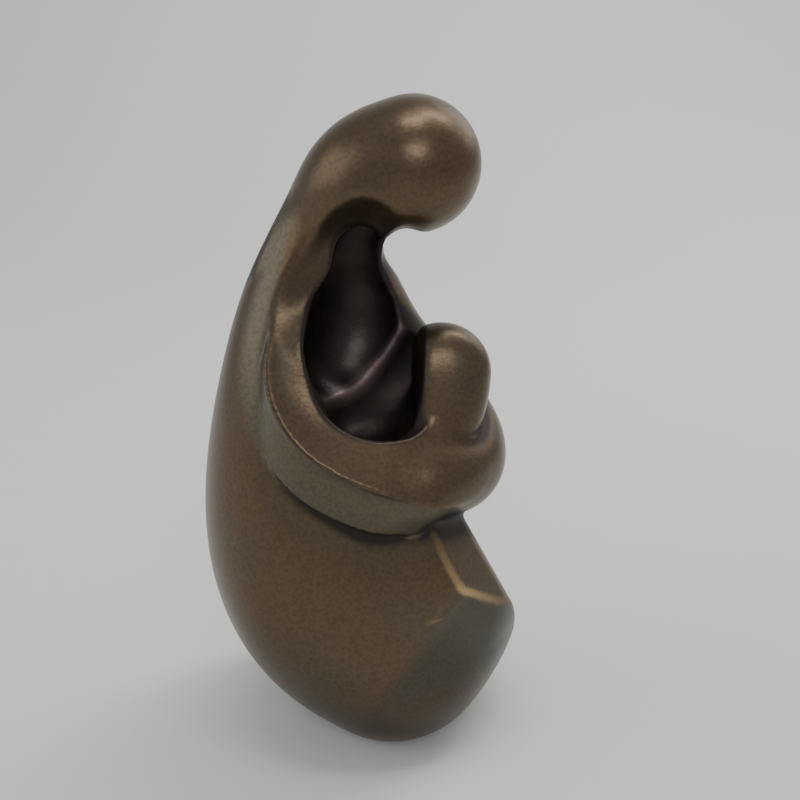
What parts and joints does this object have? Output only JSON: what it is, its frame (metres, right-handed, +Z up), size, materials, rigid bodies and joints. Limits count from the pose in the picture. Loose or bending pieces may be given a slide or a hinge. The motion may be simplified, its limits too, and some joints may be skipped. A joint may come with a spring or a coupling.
{
  "type": "mother and child sculpture",
  "caption": "Small smooth cast-bronze sculpture of a seated mother bowed over the child she holds in the hollow of her arms.",
  "frame": {"origin": "middle of the figure's box at the level of its flat underside", "axes": "+X to the right of someone facing the side with the child, +Y away from them, +Z up"},
  "size_m": [0.0776, 0.0696, 0.16],
  "materials": {
    "bronze": "brown patinated bronze, satin, with small polished rubs"
  },
  "bodies": {
    "root": {"mother_and_child": "bronze"}
  },
  "joints": []
}
